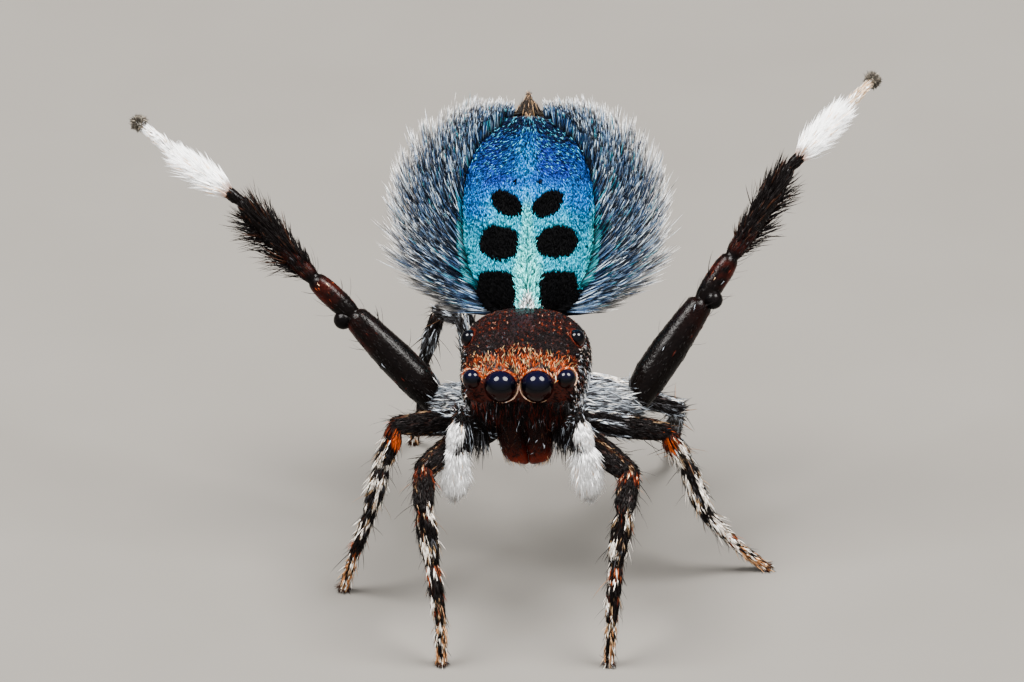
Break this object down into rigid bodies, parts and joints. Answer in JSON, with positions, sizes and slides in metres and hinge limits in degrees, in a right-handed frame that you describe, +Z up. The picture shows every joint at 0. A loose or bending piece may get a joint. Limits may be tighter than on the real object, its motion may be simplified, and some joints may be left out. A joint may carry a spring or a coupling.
{
  "type": "peacock spider model",
  "caption": "Still life-size male peacock spider in courtship display: round fringed fan raised behind the head, third legs held up and out, the other legs standing on the floor.",
  "frame": {"origin": "middle of the whole model's box at floor level, where its feet rest", "axes": "+X is the spider's own left, the face looks along -Y, +Z is up"},
  "size_m": [0.0086, 0.0052, 0.0052],
  "materials": {
    "carapace": "dark brown cuticle with orange-red and cream scales",
    "face": "glossy dark red-brown cuticle",
    "eye": "polished blue-black lens",
    "leg": "dark brown cuticle banded with white and orange hairs",
    "leg_dark": "near-black glossy cuticle with black bristles and white hair tips",
    "white_hair": "dense white hair",
    "plate": "iridescent turquoise to royal blue scales with black spots",
    "fringe": "blue-grey hairs with silvery tips"
  },
  "bodies": {
    "root": {"abdomen": "plate", "chelicera_left": "face", "chelicera_right": "face", "eye_front_middle_left": "eye", "eye_front_middle_right": "eye", "eye_front_side_left": "eye", "eye_front_side_right": "eye", "eye_middle_small_left": "eye", "eye_middle_small_right": "eye", "eye_rear_left": "eye", "eye_rear_right": "eye", "fringe_left": "fringe", "fringe_right": "fringe", "leg1_left_femur": "leg", "leg1_left_metatarsus": "leg", "leg1_left_patella": "leg", "leg1_left_tarsus": "leg", "leg1_left_tibia": "leg", "leg1_right_femur": "leg", "leg1_right_metatarsus": "leg", "leg1_right_patella": "leg", "leg1_right_tarsus": "leg", "leg1_right_tibia": "leg", "leg2_left_femur": "leg", "leg2_left_metatarsus": "leg", "leg2_left_patella": "leg", "leg2_left_tarsus": "leg", "leg2_left_tibia": "leg", "leg2_right_femur": "leg", "leg2_right_metatarsus": "leg", "leg2_right_patella": "leg", "leg2_right_tarsus": "leg", "leg2_right_tibia": "leg", "leg3_left_femur": "leg_dark", "leg3_left_metatarsus": "leg_dark", "leg3_left_patella": "leg_dark", "leg3_left_tarsus": "leg_dark", "leg3_left_tibia": "leg_dark", "leg3_right_femur": "leg_dark", "leg3_right_metatarsus": "leg_dark", "leg3_right_patella": "leg_dark", "leg3_right_tarsus": "leg_dark", "leg3_right_tibia": "leg_dark", "leg4_left_femur": "leg", "leg4_left_metatarsus": "leg", "leg4_left_patella": "leg", "leg4_left_tarsus": "leg", "leg4_left_tibia": "leg", "leg4_right_femur": "leg", "leg4_right_metatarsus": "leg", "leg4_right_patella": "leg", "leg4_right_tarsus": "leg", "leg4_right_tibia": "leg", "palp_left_arm": "leg", "palp_left_brush": "white_hair", "palp_right_arm": "leg", "palp_right_brush": "white_hair", "pedicel": "face", "prosoma": "carapace", "spinnerets": "leg"}
  },
  "joints": []
}
